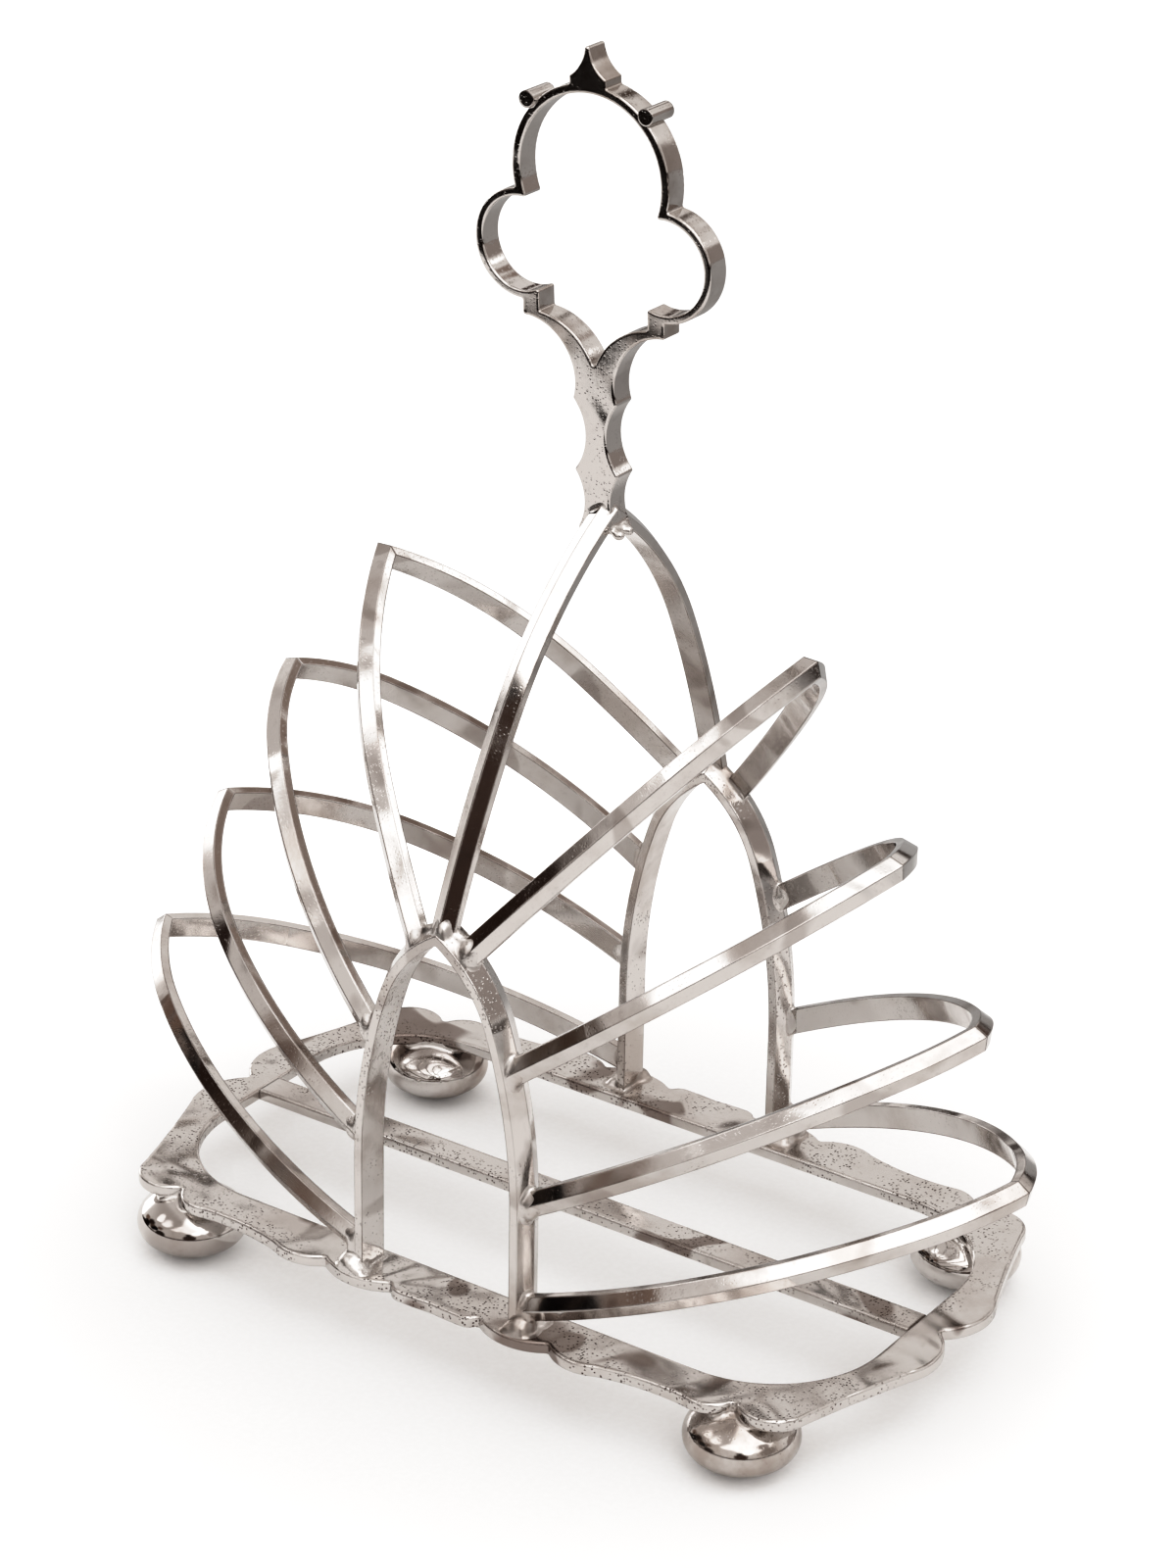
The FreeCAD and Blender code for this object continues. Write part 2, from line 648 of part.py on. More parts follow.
# ---------------------------------------------------------------- the rack

nodes = [base_frame(), centre_bar()]
for end_name, end_side in (("left", -1), ("right", 1)):
    nodes.append(bun_foot(f"foot_front_{end_name}", end_side, -1))
    nodes.append(bun_foot(f"foot_back_{end_name}", end_side, 1))

side_arches = [arch("arch_front", -1), arch("arch_back", 1)]
nodes += side_arches
front_half = half_space("front_half", (-150, -100, -10), (300, 100, 260))
back_half = half_space("back_half", (-150, 0, -10), (300, 100, 260))
halves = (front_half, back_half)

centre_limbs = hoop("hoop_centre", 0, side_arches, halves)
nodes += centre_limbs
for number in (1, 2, 3, 4):
    nodes += hoop(f"hoop_left_{number}", -1, side_arches, halves)
    nodes += hoop(f"hoop_right_{number}", 1, side_arches, halves)

nodes.append(seated("handle", handle(), centre_limbs))
doc.recompute()

for item in doc.Objects:
    if "Invalid" in item.State or "Error" in item.State:
        raise RuntimeError(f"{item.Name} did not compute: {item.State}")

os.makedirs("parts", exist_ok=True)
for node in nodes:
    shape = node.Shape
    if shape.isNull() or not shape.isValid() or len(shape.Solids) != 1:
        raise RuntimeError(f"{node.Label} is not one valid solid")
    shape.exportStep(f"parts/{node.Label}.step")
    box = shape.BoundBox
    print(f"{node.Label:20s} x {box.XMin:7.2f} {box.XMax:7.2f}  z {box.ZMin:7.2f} {box.ZMax:7.2f}")
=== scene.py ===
import json
import math
import random

import bmesh
import bpy
from mathutils import Matrix, Vector
from mathutils.bvhtree import BVHTree


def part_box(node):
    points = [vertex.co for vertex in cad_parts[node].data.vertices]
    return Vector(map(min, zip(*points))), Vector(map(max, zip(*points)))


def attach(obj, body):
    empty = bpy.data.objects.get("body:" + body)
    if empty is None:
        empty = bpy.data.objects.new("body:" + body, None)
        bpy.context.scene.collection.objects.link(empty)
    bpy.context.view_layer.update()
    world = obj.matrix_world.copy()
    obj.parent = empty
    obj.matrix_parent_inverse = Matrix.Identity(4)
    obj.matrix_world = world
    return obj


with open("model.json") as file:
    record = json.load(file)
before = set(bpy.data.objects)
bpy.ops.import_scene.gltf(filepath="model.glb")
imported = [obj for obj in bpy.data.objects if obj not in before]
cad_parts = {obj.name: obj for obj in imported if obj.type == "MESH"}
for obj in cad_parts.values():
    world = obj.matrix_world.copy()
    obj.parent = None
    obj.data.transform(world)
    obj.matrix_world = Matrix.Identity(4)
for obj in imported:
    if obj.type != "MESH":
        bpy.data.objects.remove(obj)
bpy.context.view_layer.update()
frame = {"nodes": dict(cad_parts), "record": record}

NODES = frame["nodes"]

# Lengths are metres in the frame of the CAD model. A length times MM is given in millimetres.
MM = 0.001

# ---------------------------------------------------------------- camera

AZIMUTH = 34.43
ELEVATION = 24.92
ROLL = -1.09
CAMERA_AT = (0.39779, -0.57488, 0.41978)
LENS = 102.46
SENSOR = 36
VIEW_END = 20


def add_camera():
    azimuth = math.radians(AZIMUTH)
    elevation = math.radians(ELEVATION)
    right = Vector((math.cos(azimuth), math.sin(azimuth), 0))
    back = Vector((math.sin(azimuth) * math.cos(elevation),
                   -math.cos(azimuth) * math.cos(elevation), math.sin(elevation)))
    up = back.cross(right)
    turn = Matrix((right, up, back)).transposed().to_4x4()
    turn = turn @ Matrix.Rotation(math.radians(-ROLL), 4, "Z")
    data = bpy.data.cameras.new("camera")
    data.lens = LENS
    data.sensor_width = SENSOR
    data.sensor_fit = "AUTO"
    data.clip_end = VIEW_END
    camera = bpy.data.objects.new("camera", data)
    camera.matrix_world = Matrix.Translation(CAMERA_AT) @ turn
    bpy.context.scene.collection.objects.link(camera)
    bpy.context.scene.camera = camera


# ---------------------------------------------------------------- node helpers

# Sockets of a Mix node that mixes colours.
FIRST_COLOUR = 6
SECOND_COLOUR = 7
MIXED_COLOUR = 2


class Tree:
    """Short calls for building a shader node tree."""

    def __init__(self, tree):
        self.tree = tree

    def add(self, kind, **values):
        node = self.tree.nodes.new(kind)
        for name, value in values.items():
            setattr(node, name, value)
        return node

    def join(self, source, target):
        self.tree.links.new(source, target)

    def value(self, socket, value):
        """Feed a socket from another socket, or set it to a plain value."""
        if isinstance(value, bpy.types.NodeSocket):
            self.join(value, socket)
        else:
            socket.default_value = value

    def math(self, operation, first, second, clamp=False):
        node = self.add("ShaderNodeMath", operation=operation, use_clamp=clamp)
        self.value(node.inputs[0], first)
        self.value(node.inputs[1], second)
        return node.outputs[0]

    def product(self, *factors):
        result = factors[0]
        for factor in factors[1:]:
            result = self.math("MULTIPLY", result, factor)
        return result

    def dot(self, first, second):
        node = self.add("ShaderNodeVectorMath", operation="DOT_PRODUCT")
        self.value(node.inputs[0], first)
        self.value(node.inputs[1], second)
        return node.outputs["Value"]

    def ramp(self, factor, stops):
        """Smooth step. Stops: where it starts and ends, then its value before and after."""
        node = self.add("ShaderNodeMapRange", interpolation_type="SMOOTHSTEP")
        low, high, at_low, at_high = stops
        self.value(node.inputs["Value"], factor)
        node.inputs["From Min"].default_value = low
        node.inputs["From Max"].default_value = high
        node.inputs["To Min"].default_value = at_low
        node.inputs["To Max"].default_value = at_high
        return node.outputs[0]

    def noise(self, coordinates, scale, detail=2.0, roughness=0.5, distortion=0.0):
        node = self.add("ShaderNodeTexNoise")
        self.join(coordinates, node.inputs["Vector"])
        node.inputs["Scale"].default_value = scale
        node.inputs["Detail"].default_value = detail
        node.inputs["Roughness"].default_value = roughness
        node.inputs["Distortion"].default_value = distortion
        return node.outputs["Fac"]

    def mix(self, factor, first, second):
        node = self.add("ShaderNodeMix", data_type="RGBA")
        self.value(node.inputs["Factor"], factor)
        self.value(node.inputs[FIRST_COLOUR], first)
        self.value(node.inputs[SECOND_COLOUR], second)
        return node.outputs[MIXED_COLOUR]

    def scaled(self, coordinates, scale, turn):
        node = self.add("ShaderNodeMapping")
        self.join(coordinates, node.inputs["Vector"])
        node.inputs["Scale"].default_value = scale
        node.inputs["Rotation"].default_value = turn
        return node.outputs["Vector"]


# ---------------------------------------------------------------- floor

FLOOR_FRONT = -0.43
FLOOR_BACK = 8
FLOOR_SIDE = 6
FLOOR_TINT = (1.0, 0.998, 0.995)

# Painted shade: the floor's colour darkens towards the back, by the distance in this direction.
BACKWARDS = (0.2, 0.98, 0)
BACK_SHADE = (0.10, 0.24, 1.0, 0.42)

GRAIN_SCALE = 900
GRAIN = (0.35, 0.7, 0.885, 0.915)

# Glow that only the camera sees, by the distance from the rack.
GLOW = (0.05, 0.24, 0.04, 0.80)
WHITE = (1, 1, 1, 1)


def add_floor():
    """A pale table top that ends in front of the rack, with a glow away from the rack that only
    the camera sees and painted shade on the stretch behind it."""
    mesh = bpy.data.meshes.new("floor")
    corners = [(-FLOOR_SIDE, FLOOR_FRONT, 0), (FLOOR_SIDE, FLOOR_FRONT, 0),
               (FLOOR_SIDE, FLOOR_BACK, 0), (-FLOOR_SIDE, FLOOR_BACK, 0)]
    mesh.from_pydata(corners, [], [(0, 1, 2, 3)])
    floor = bpy.data.objects.new("floor", mesh)
    bpy.context.scene.collection.objects.link(floor)
    mesh.materials.append(floor_white())


def floor_white():
    material = bpy.data.materials.new("floor_white")
    material.use_nodes = True
    tree = Tree(material.node_tree)
    shader = material.node_tree.nodes["Principled BSDF"]
    place = tree.add("ShaderNodeTexCoord").outputs["Object"]

    # Painted shade towards the back, times the grain of the floor.
    shade = tree.ramp(tree.dot(place, BACKWARDS), BACK_SHADE)
    shade = tree.product(shade, tree.ramp(tree.noise(place, GRAIN_SCALE), GRAIN))
    paint = tree.add("ShaderNodeCombineColor")
    for channel, share in enumerate(FLOOR_TINT):
        tree.join(tree.product(shade, share), paint.inputs[channel])
    tree.join(paint.outputs[0], shader.inputs["Base Color"])
    shader.inputs["Roughness"].default_value = 0.7
    shader.inputs["Specular IOR Level"].default_value = 0.2

    away = tree.add("ShaderNodeVectorMath", operation="LENGTH")
    tree.join(place, away.inputs[0])
    glow = tree.ramp(away.outputs["Value"], GLOW)
    seen = tree.add("ShaderNodeLightPath").outputs["Is Camera Ray"]
    shader.inputs["Emission Color"].default_value = WHITE
    tree.join(tree.product(glow, seen), shader.inputs["Emission Strength"])
    return material


# ---------------------------------------------------------------- studio

# Soft boxes and dark flags, placed and toned so that the silver shows light and dark
# about where it does on the real rack: azimuth, elevation, inner and outer radius, all in
# degrees, and colour. Later ones lie over earlier ones.
SKY_PATCHES = [
    (60, 64, 32, 38, (1.9, 1.9, 1.9)),
    (-4, 52, 12, 15, (1.9, 1.9, 1.9)),
    (-66, 50, 32, 36, (0.66, 0.63, 0.61)),
    (-40, 50, 6, 12, (1.9, 1.9, 1.9)),
    (-66, 46, 5, 7, (2.0, 2.0, 2.0)),
    (-108, 8, 14, 17, (2.0, 2.0, 2.0)),
    (86, 22, 14, 18, (0.40, 0.36, 0.34)),
    (86, 46, 9, 12, (0.42, 0.38, 0.36)),
    (141, 6, 12, 16, (0.36, 0.32, 0.30)),
    (160, 41, 5, 8, (0.33, 0.27, 0.24)),
    (180, 46, 5, 9, (0.33, 0.27, 0.24)),
    (144, 27, 3, 5, (2.0, 2.0, 2.0)),
    (-145, 49, 4, 6, (0.10, 0.06, 0.045)),
    (-166, 31, 4, 6, (0.08, 0.05, 0.035)),
    (-122, 33, 4, 6, (0.12, 0.08, 0.06)),
    (-143, 15, 4, 6, (0.06, 0.035, 0.028)),
    (-174, 10, 5, 7, (0.10, 0.06, 0.045)),
    (-80, 1, 6, 8, (0.03, 0.018, 0.014)),
    (-64, 23, 6, 11, (0.045, 0.026, 0.019)),
    (-52, 15, 6, 12, (0.11, 0.078, 0.060)),
    (-80, 19, 5, 8, (0.22, 0.16, 0.13)),
    (-71, 9, 8, 10, (0.010, 0.005, 0.004)),
    (-51, 11, 4, 5, (0.004, 0.002, 0.002)),
    (-45, 16, 6, 7, (0.004, 0.002, 0.002)),
    (-37, 26, 3, 8, (0.24, 0.18, 0.15)),
    (-30, 7, 9, 12, (0.05, 0.033, 0.026)),
    (32, 12, 12, 14, (0.09, 0.06, 0.048)),
    (29, 27, 4, 6, (0.02, 0.012, 0.01)),
    (47, 34, 8, 10, (2.8, 2.8, 2.8)),
]
WALLS = (0.80, 0.775, 0.755, 1)
DARK_ROOM = (0.06, 0.044, 0.037, 1)
UNDER_TABLE = (0.014, 0.009, 0.007, 1)

# How high above the horizon the dark room gives way to the walls, and where it is all table.
ROOM_BAND = (0.03, 0.11, 1.0, 0.0)
TABLE_BAND = (-0.03, -0.01, 1.0, 0.0)

# What the camera itself sees behind the floor.
BACKDROP_STRENGTH = 1.05


def direction(azimuth, elevation):
    """Unit vector from the rack towards a place in the studio; azimuth as for the camera."""
    a = math.radians(azimuth)
    e = math.radians(elevation)
    return (math.sin(a) * math.cos(e), -math.cos(a) * math.cos(e), math.sin(e))


def add_world():
    world = bpy.data.worlds.new("studio")
    world.use_nodes = True
    bpy.context.scene.world = world
    tree = Tree(world.node_tree)
    world.node_tree.nodes.clear()
    towards = tree.add("ShaderNodeTexCoord").outputs["Generated"]
    parts = tree.add("ShaderNodeSeparateXYZ")
    tree.join(towards, parts.inputs[0])
    height = parts.outputs["Z"]

    colour = tree.mix(tree.ramp(height, ROOM_BAND), WALLS, DARK_ROOM)
    for azimuth, elevation, inner, outer, tone in SKY_PATCHES:
        edge = (math.cos(math.radians(outer)), math.cos(math.radians(inner)), 0.0, 1.0)
        amount = tree.ramp(tree.dot(towards, direction(azimuth, elevation)), edge)
        colour = tree.mix(amount, colour, (*tone, 1))
    colour = tree.mix(tree.ramp(height, TABLE_BAND), colour, UNDER_TABLE)

    studio = tree.add("ShaderNodeBackground")
    tree.join(colour, studio.inputs["Color"])
    backdrop = tree.add("ShaderNodeBackground")
    backdrop.inputs["Color"].default_value = WHITE
    backdrop.inputs["Strength"].default_value = BACKDROP_STRENGTH
    pick = tree.add("ShaderNodeMixShader")
    tree.join(tree.add("ShaderNodeLightPath").outputs["Is Camera Ray"], pick.inputs[0])
    tree.join(studio.outputs[0], pick.inputs[1])
    tree.join(backdrop.outputs[0], pick.inputs[2])
    tree.join(pick.outputs[0], tree.add("ShaderNodeOutputWorld").inputs["Surface"])


# Display curve: how light a tone is and how light it is shown.
CONTRAST = [(0.06, 0.027), (0.19, 0.145), (0.28, 0.255), (0.38, 0.395), (0.48, 0.54), (0.665, 0.78)]
COMBINED_CURVE = 3


def set_contrast():
    """A plain display with the crisp contrast of a studio picture."""
    view = bpy.context.scene.view_settings
    view.view_transform = "Standard"
    view.use_curve_mapping = True
    curve = view.curve_mapping.curves[COMBINED_CURVE]
    for tone, shown in CONTRAST:
        curve.points.new(tone, shown)
    view.curve_mapping.update()


# ---------------------------------------------------------------- silver

CLEAN = (0.63, 0.603, 0.583, 1)
TARNISH = (0.35, 0.295, 0.26, 1)
# Grime of specks and pits; the same colour is also the painted dark reflection along the edges.
GRIME_AND_PAINTED_REFLECTION = (0.07, 0.045, 0.035, 1)
# Painted dark reflection, laid on as blots.
PAINTED_DARK_REFLECTION = (0.13, 0.085, 0.066, 1)

# Noise scales, in features per metre.
CLOUDS = 45
FINE = 420
BLOTS = 52
RIM_BREAKS = 95
PIT_AREAS = 70
PIT_CELLS = 1900
SCRATCHES = 1500
WAVES = 55

# Relief, in metres: of the hand-made waviness, of the fine grain and the scratches (of plain and
# of brushed silver), and the depth of a pit.
WAVE_HEIGHT = 0.0016
FINE_HEIGHT = (0.000006, 0.00002)
SCRATCH_HEIGHT = (0.000004, 0.00003)
PIT_DEPTH = 0.00012

PITTED_SHARE = 0.45
BEVEL_SAMPLES = 8


def stained(tree, place, clouds, fine, tarnish, painted_blots):
    """Colour of the silver under its tarnish clouds and specks, with blots of painted dark
    reflection.
    """
    stain = tree.product(tree.ramp(clouds, (0.44, 0.66, 0.0, 1.0)), tarnish)
    colour = tree.mix(stain, CLEAN, TARNISH)
    speck = tree.product(tree.ramp(fine, (0.60, 0.72, 0.0, 1.0)), 0.25 * tarnish)
    colour = tree.mix(speck, colour, GRIME_AND_PAINTED_REFLECTION)
    # Blots of painted dark reflection.
    if painted_blots:
        blots = tree.noise(place, BLOTS, detail=1.5, roughness=0.4, distortion=1.4)
        blot = tree.product(tree.ramp(blots, (0.59, 0.66, 0.0, 1.0)), painted_blots)
        colour = tree.mix(blot, colour, PAINTED_DARK_REFLECTION)
    return colour


def painted_rim_reflection(tree, place, worn, lines):
    """Painted reflection: a broken dark line where the surface turns over an edge."""
    surface = tree.add("ShaderNodeNewGeometry").outputs["Normal"]
    rim = tree.ramp(tree.dot(worn, surface), (0.80, 0.985, 1.0, 0.0))
    broken = tree.ramp(tree.noise(place, RIM_BREAKS, detail=3), (0.42, 0.54, 0.5, 1.0))
    return tree.product(rim, broken, lines)


def pitting(tree, place, pits):
    """Small round pits, in patches."""
    area = tree.ramp(tree.noise(place, PIT_AREAS, detail=3), (0.42, 0.56, 0.0, 1.0))
    cells = tree.add("ShaderNodeTexVoronoi", feature="F1")
    tree.join(place, cells.inputs["Vector"])
    cells.inputs["Scale"].default_value = PIT_CELLS
    cells.inputs["Randomness"].default_value = 1.0
    pick = tree.add("ShaderNodeSeparateColor")
    tree.join(cells.outputs["Color"], pick.inputs[0])
    chosen = tree.math("LESS_THAN", pick.outputs[0], PITTED_SHARE)
    dot = tree.ramp(cells.outputs["Distance"], (0.22, 0.42, 1.0, 0.0))
    return tree.product(dot, chosen, area, pits)


def relief(tree, place, fine, scratch, pit, wave, brushed):
    """Height of the surface: waviness, grain and scratches, less the pits."""
    slow = tree.noise(place, WAVES, detail=1, distortion=0.6)
    height = tree.product(slow, WAVE_HEIGHT * wave)
    for detail, (plain, brush) in ((fine, FINE_HEIGHT), (scratch, SCRATCH_HEIGHT)):
        height = tree.math("ADD", height, tree.product(detail, plain + brush * brushed))
    return tree.math("SUBTRACT", height, tree.product(pit, PIT_DEPTH))


def silver(name, rough, tarnish, pits, wave, edge, lines, painted_blots=0.0, brushed=0.0):
    """Worn silver plate: tarnish clouds, pits, fine scratches, brushing and a hand-made waviness.
    Edge is the radius in millimetres that its edges are worn to, and lines how dark the painted
    reflection along them is."""
    material = bpy.data.materials.new(name)
    material.use_nodes = True
    tree = Tree(material.node_tree)
    shader = material.node_tree.nodes["Principled BSDF"]
    place = tree.add("ShaderNodeTexCoord").outputs["Object"]
    clouds = tree.noise(place, CLOUDS, detail=5, roughness=0.62)
    fine = tree.noise(place, FINE, detail=4, roughness=0.65)
    along = tree.scaled(place, (1.0, 1.0, 0.06), turn=(0.5, 0.35, 0.2))
    scratch = tree.noise(along, SCRATCHES, detail=3, roughness=0.7)
    pit = pitting(tree, place, pits)
    bump = tree.add("ShaderNodeBump")

    colour = stained(tree, place, clouds, fine, tarnish, painted_blots)
    if edge:
        worn = tree.add("ShaderNodeBevel", samples=BEVEL_SAMPLES)
        worn.inputs["Radius"].default_value = edge * MM
        # Painted reflection: a dark line along the edges.
        colour = tree.mix(painted_rim_reflection(tree, place, worn.outputs["Normal"], lines), colour, GRIME_AND_PAINTED_REFLECTION)
        tree.join(worn.outputs["Normal"], bump.inputs["Normal"])
    colour = tree.mix(tree.product(pit, 0.95), colour, GRIME_AND_PAINTED_REFLECTION)
    tree.join(colour, shader.inputs["Base Color"])
    shader.inputs["Metallic"].default_value = 1.0

    spread = tree.product(tree.ramp(clouds, (0.35, 0.7, 0.0, 1.0)), 0.10)
    roughness = tree.math("ADD", tree.math("ADD", spread, rough), tree.product(scratch, 0.06))
    roughness = tree.math("ADD", roughness, tree.product(pit, 0.35), clamp=True)
    tree.join(roughness, shader.inputs["Roughness"])

    bump.inputs["Distance"].default_value = 1.0
    bump.inputs["Strength"].default_value = 1.0
    tree.join(relief(tree, place, fine, scratch, pit, wave, brushed), bump.inputs["Height"])
    tree.join(bump.outputs["Normal"], shader.inputs["Normal"])
    return material


MATERIALS = {
    "silver_frame": silver("silver_frame", rough=0.07, tarnish=0.3, pits=1.0, wave=0.9, edge=0.8,
                           lines=0.95, painted_blots=0.7),
    "silver_foot": silver("silver_foot", rough=0.045, tarnish=0.8, pits=0.1, wave=0.06, edge=0.35,
                          lines=0.0, painted_blots=0.4),
    "silver_arch": silver("silver_arch", rough=0.08, tarnish=0.6, pits=0.5, wave=0.5, edge=0.4,
                          lines=0.8, painted_blots=0.3),
    "silver_wire": silver("silver_wire", rough=0.05, tarnish=0.45, pits=0.05, wave=0.5, edge=0.4,
                          lines=0.9, painted_blots=0.3),
    "silver_handle": silver("silver_handle", rough=0.05, tarnish=0.7, pits=0.1, wave=0.4,
                            edge=0.42, lines=1.0, painted_blots=0.15, brushed=0.12),
}


def paint_nodes():
    slots = {part["node"]: part["material_slot"] for part in frame["record"]["subparts"]}
    for name, node in NODES.items():
        node.data.materials.clear()
        node.data.materials.append(MATERIALS[slots[name]])


# ---------------------------------------------------------------- solder

SEED = 7
SOLDER_VOXEL = 0.34 * MM
SOLDER_SMOOTHING = 24
SMALLEST_BIT = 100

# How far solder reaches from the middle of each kind of joint.
HOOP_REACH = 5.2 * MM
LEG_REACH = 7.5 * MM
CROWN_REACH = 8.0 * MM
FOOT_REACH = 9.0 * MM
HANDLE_REACH = 6.5 * MM

# Lumps around an arch leg: how many millimetres outwards along X and Y and up they sit, size in
# millimetres, and height as a share of the size.
LEG_LUMPS = [
    ((1.2, 2.4, 0.6), 2.7, 0.9),
    ((-0.2, 3.4, 0.2), 2.2, 0.7),
    ((1.9, -1.4, 0.3), 1.7, 0.7),
]
# Lumps beside the handle's stem, in millimetres: place along X, distance to each side, height
# and size.
STEM_LUMPS = [
    (-2.0, 1.6, 0.2, 1.3),
    (2.4, 1.4, 0.6, 1.2),
]
# Radii of the lump under an arch's crown, and the radius of the ring on a foot, in millimetres.
CROWN_LUMP = (5.0, 1.5, 1.9)
FOOT_RING = 3.3
LUMPS_ON_A_FOOT = 7

# Solder is kept where it stands this far proud of the silver, all of it is then sunk by the same
# amount, and over the last stretch of its reach it dives under the surface.
PROUD = 0.02 * MM
DIVE = 0.06 * MM
DIVE_FROM = 0.7
DIVE_LENGTH = 0.3


def tree_of(*names):
    """A nearest-point tree of these CAD nodes."""
    vertices = []
    faces = []
    for name in names:
        start = len(vertices)
        mesh = NODES[name].data
        vertices += [vertex.co.copy() for vertex in mesh.vertices]
        faces += [[start + index for index in face.vertices] for face in mesh.polygons]
    return BVHTree.FromPolygons(vertices, faces)


def middle(points):
    return sum(points, Vector()) / len(points)


def touching(name, other):
    """Middle of the place where one node touches another."""
    tree = tree_of(other)
    return middle([vertex.co for vertex in NODES[name].data.vertices
                   if tree.find_nearest(vertex.co, 0.08 * MM)[0] is not None])


def corners(name):
    return [Vector(corner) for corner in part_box(name)]


def lump(rng, centre, size, flat):
    """Centre and radii of one lump; size is in millimetres."""
    spread = [size * rng.uniform(0.85, 1.15) * MM for _ in range(2)]
    return centre, (*spread, size * flat * MM)


def hoop_solder(rng):
    """One lump under the root of each limb, on its outer side."""
    joints = []
    lumps = []
    for name in NODES:
        if not name.startswith("hoop"):
            continue
        side_y = -1 if name.endswith("front") else 1
        root = touching(name, "arch_front" if side_y < 0 else "arch_back")
        joints.append((root, HOOP_REACH))
        low, high = corners(name)
        reach = low if "left" in name else high
        outwards = Vector((math.copysign(1.0, reach.x - root.x), 0, 0))
        jitter = Vector([rng.uniform(-0.3, 0.3) * MM for _ in range(3)])
        here = root + outwards * 0.2 * MM + Vector((0, side_y * 0.5 * MM, -0.3 * MM)) + jitter
        lumps.append((here, Vector((1.7, 1.9, rng.uniform(2.3, 2.9))) * MM))
    return joints, lumps


def leg_solder(rng):
    """Lumps around the foot of each arch leg."""
    joints = []
    lumps = []
    for name, side_y in (("arch_front", -1), ("arch_back", 1)):
        low, high = corners(name)
        middle_x = (low.x + high.x) / 2
        for side_x in (-1, 1):
            foot = middle([vertex.co for vertex in NODES[name].data.vertices
                           if vertex.co.z < low.z + 0.2 * MM
                           and (vertex.co.x - middle_x) * side_x > 0])
            joints.append((foot, LEG_REACH))
            for (out_x, out_y, up), size, flat in LEG_LUMPS:
                place = foot + Vector((side_x * out_x, side_y * out_y, up)) * MM
                lumps.append(lump(rng, place, size, flat))
    return joints, lumps


def crown_solder():
    """One flat lump under the crown of each arch."""
    joints = []
    lumps = []
    for name, side_y in (("arch_front", -1), ("arch_back", 1)):
        low, high = corners(name)
        crown = Vector(((low.x + high.x) / 2, (low.y + high.y) / 2, high.z))
        joints.append((crown, CROWN_REACH))
        lumps.append((crown + Vector((0, 0.2 * side_y, -2.7)) * MM, Vector(CROWN_LUMP) * MM))
    return joints, lumps


def foot_solder(rng):
    """An uneven ring of lumps where each foot meets the frame."""
    joints = []
    lumps = []
    for name in NODES:
        if not name.startswith("foot"):
            continue
        low, high = corners(name)
        top = Vector(((low.x + high.x) / 2, (low.y + high.y) / 2, high.z))
        joints.append((top, FOOT_REACH))
        for turn in range(LUMPS_ON_A_FOOT):
            angle = turn * math.tau / LUMPS_ON_A_FOOT + rng.uniform(-0.3, 0.3)
            ring = Vector((math.cos(angle), math.sin(angle), 0)) * FOOT_RING * MM
            place = top + ring - Vector((0, 0, 0.7 * MM))
            lumps.append(lump(rng, place, rng.uniform(1.1, 1.7), 0.8))
    return joints, lumps


def handle_solder(rng):
    """Lumps on both faces of the stem, where it sits on the centre hoop."""
    bottom = corners("handle")[0].z
    centre = touching("handle", "hoop_centre_front")
    joints = [(Vector((centre.x, 0, bottom + 0.5 * MM)), HANDLE_REACH)]
    lumps = []
    for side_y in (-1, 1):
        for along, aside, up, size in STEM_LUMPS:
            place = Vector((centre.x + along * MM, side_y * aside * MM, bottom + up * MM))
            lumps.append(lump(rng, place, size, 0.9))
    return joints, lumps


def solder_places():
    """Joints to fill, as (centre, reach), and lumps of solder, as (centre, radii)."""
    rng = random.Random(SEED)
    joints = []
    lumps = []
    for more_joints, more_lumps in (hoop_solder(rng), leg_solder(rng), crown_solder(),
                                    foot_solder(rng), handle_solder(rng)):
        joints += more_joints
        lumps += more_lumps
    return joints, lumps


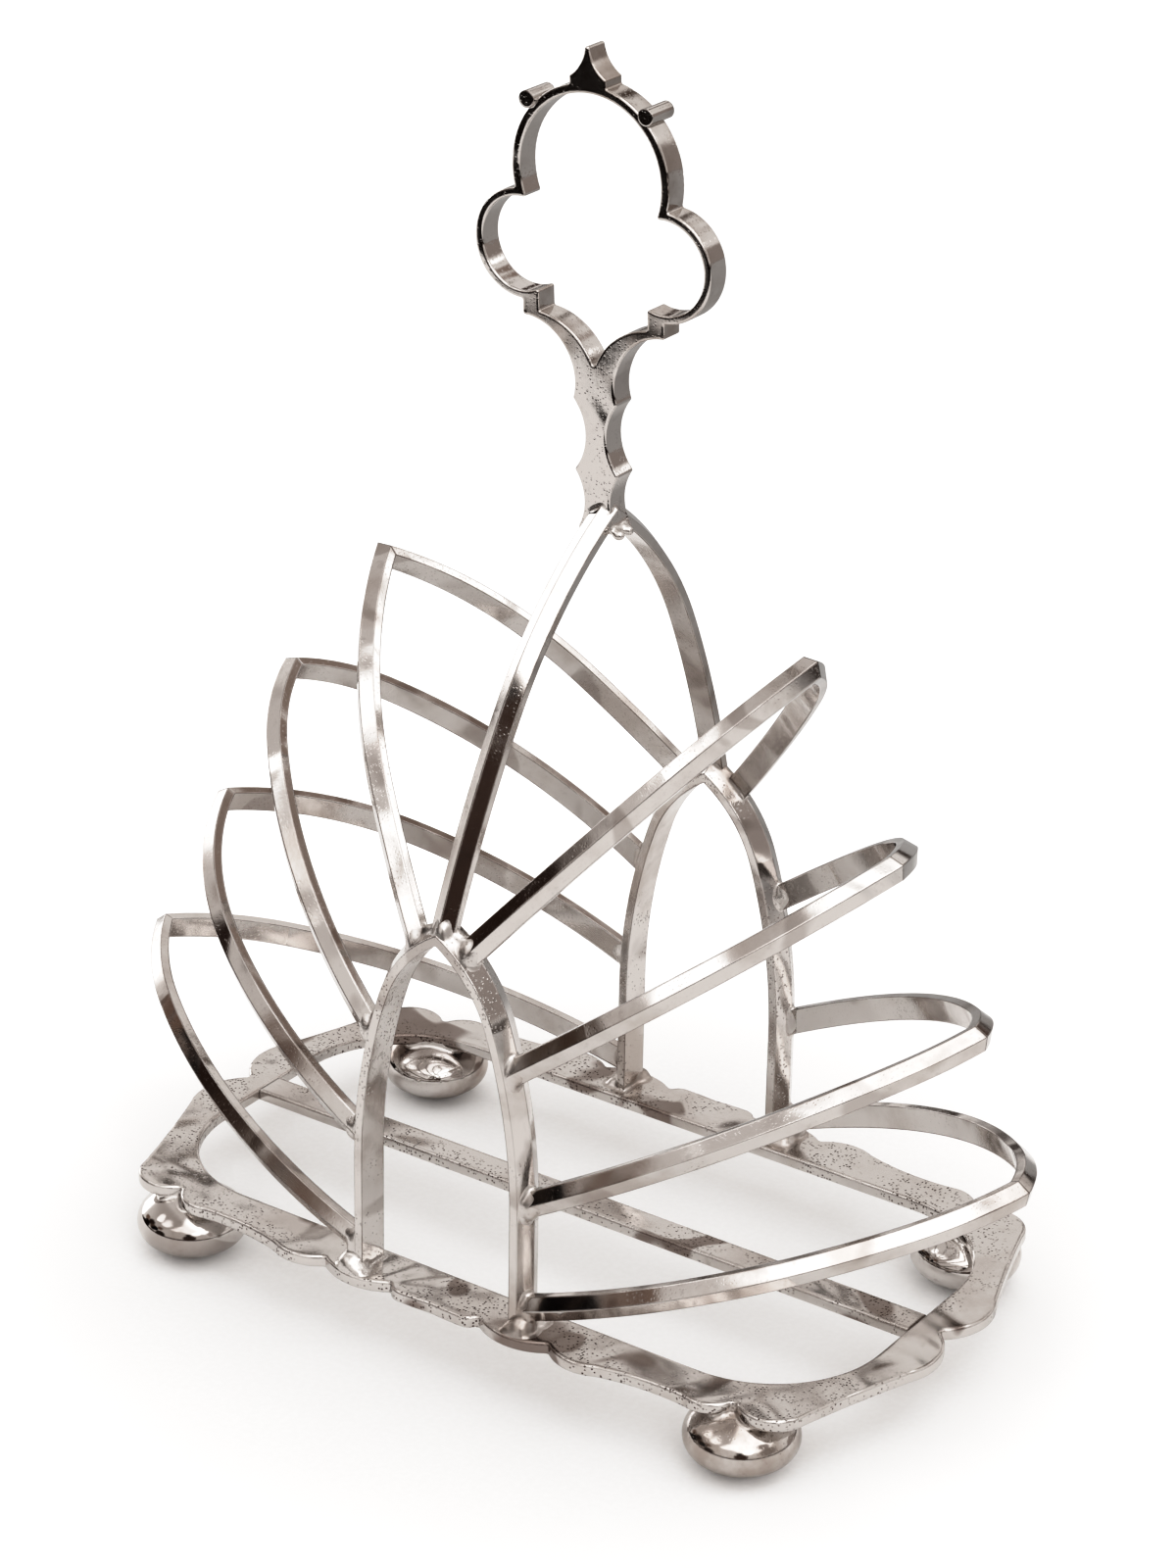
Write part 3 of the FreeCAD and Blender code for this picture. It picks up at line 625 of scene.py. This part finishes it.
def fused_rack(lumps):
    """Mesh of the whole rack and the lumps, fused and softened."""
    source = bmesh.new()
    for node in NODES.values():
        source.from_mesh(node.data)
    for centre, radii in lumps:
        place = Matrix.Translation(centre) @ Matrix.Diagonal((*radii, 1))
        bmesh.ops.create_icosphere(source, subdivisions=2, radius=1.0, matrix=place)
    mesh = bpy.data.meshes.new("solder_source")
    source.to_mesh(mesh)
    source.free()
    piece = bpy.data.objects.new("solder_source", mesh)
    bpy.context.scene.collection.objects.link(piece)
    fuse = piece.modifiers.new("fuse", "REMESH")
    fuse.mode = "VOXEL"
    fuse.voxel_size = SOLDER_VOXEL
    soften = piece.modifiers.new("soften", "SMOOTH")
    soften.factor = 0.5
    soften.iterations = SOLDER_SMOOTHING
    evaluated = piece.evaluated_get(bpy.context.evaluated_depsgraph_get())
    fused = bpy.data.meshes.new_from_object(evaluated)
    bpy.data.objects.remove(piece)
    return fused


def crumbs(skin):
    """Faces of separate bits too small to be a lump of solder."""
    small = []
    left = set(skin.faces)
    while left:
        bit = {left.pop()}
        rim = list(bit)
        while rim:
            for edge in rim.pop().edges:
                for face in edge.link_faces:
                    if face in left:
                        left.remove(face)
                        bit.add(face)
                        rim.append(face)
        if len(bit) < SMALLEST_BIT:
            small += bit
    return small


def keep_solder(skin, joints):
    """Cut the fused rack down to what stands proud of the CAD solids near a joint."""
    cad = tree_of(*NODES)
    reach = {}
    for vertex in skin.verts:
        fade = min((vertex.co - centre).length / radius for centre, radius in joints)
        if fade < 1.0:
            reach[vertex] = fade
    keep = set()
    moves = {}
    for vertex, fade in reach.items():
        near, normal, _, _ = cad.find_nearest(vertex.co)
        proud = (vertex.co - near).dot(normal)
        if proud > PROUD:
            keep.add(vertex)
        dive = max(0.0, min(1.0, (fade - DIVE_FROM) / DIVE_LENGTH)) ** 2
        moves[vertex] = normal * (-PROUD - dive * (max(proud, 0.0) + DIVE))
    for vertex, move in moves.items():
        vertex.co += move
    spare = [face for face in skin.faces if not any(vertex in keep for vertex in face.verts)]
    bmesh.ops.delete(skin, geom=spare, context="FACES")
    bmesh.ops.delete(skin, geom=crumbs(skin), context="FACES")


def add_solder(material):
    """Fillets and lumps of solder at every joint, as one piece."""
    joints, lumps = solder_places()
    shaped = fused_rack(lumps)
    skin = bmesh.new()
    skin.from_mesh(shaped)
    keep_solder(skin, joints)
    skin.to_mesh(shaped)
    skin.free()
    shaped.name = "solder_joints"
    shaped.materials.clear()
    shaped.materials.append(material)
    shaped.shade_smooth()
    joint_piece = bpy.data.objects.new("solder_joints", shaped)
    bpy.context.scene.collection.objects.link(joint_piece)
    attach(joint_piece, "root")


add_camera()
add_floor()
add_world()
set_contrast()
paint_nodes()
add_solder(silver("silver_solder", rough=0.24, tarnish=0.8, pits=0.3, wave=0.2, edge=0.0,
                  lines=0.0))
